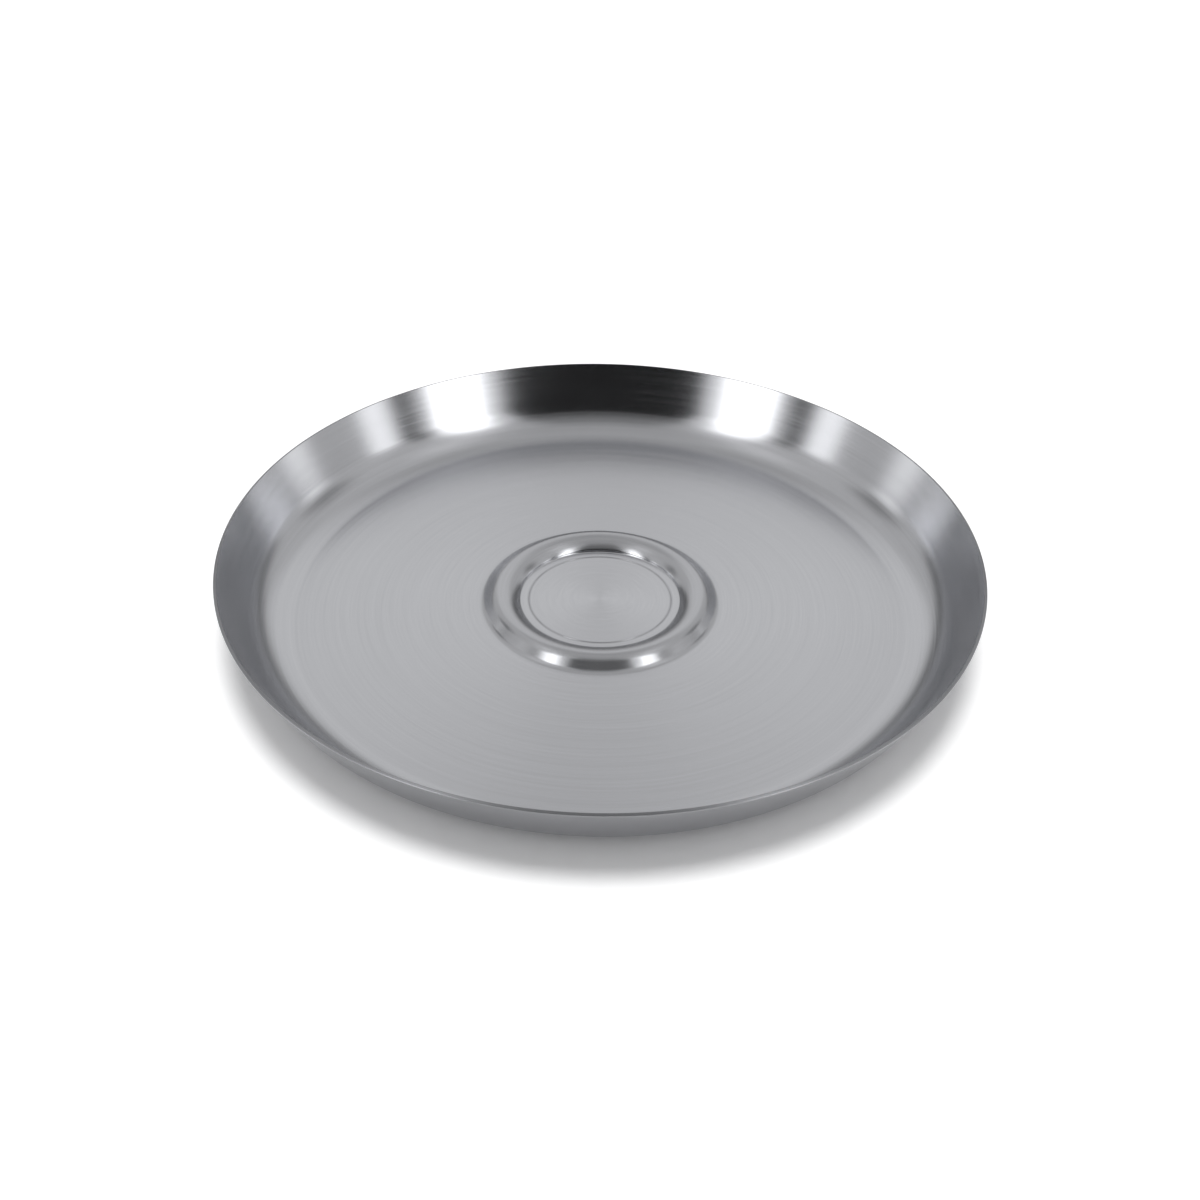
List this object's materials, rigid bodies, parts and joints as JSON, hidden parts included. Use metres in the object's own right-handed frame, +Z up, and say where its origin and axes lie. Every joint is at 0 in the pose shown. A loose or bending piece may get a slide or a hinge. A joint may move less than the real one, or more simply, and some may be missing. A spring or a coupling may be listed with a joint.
{
  "type": "teapot tray",
  "caption": "Round satin steel tray with a flat floor, a flared wall and a raised ring in the middle that keeps a teapot in place.",
  "frame": {"origin": "on the tray's axis, at the level of the underside that it stands on", "axes": "+Z up along the axis of revolution; +X and +Y are alike, because the tray is round"},
  "size_m": [0.32, 0.32, 0.0315],
  "materials": {
    "satin_steel": "satin, brushed in fine circles round the middle"
  },
  "bodies": {
    "root": {"tray": "satin_steel"}
  },
  "joints": []
}
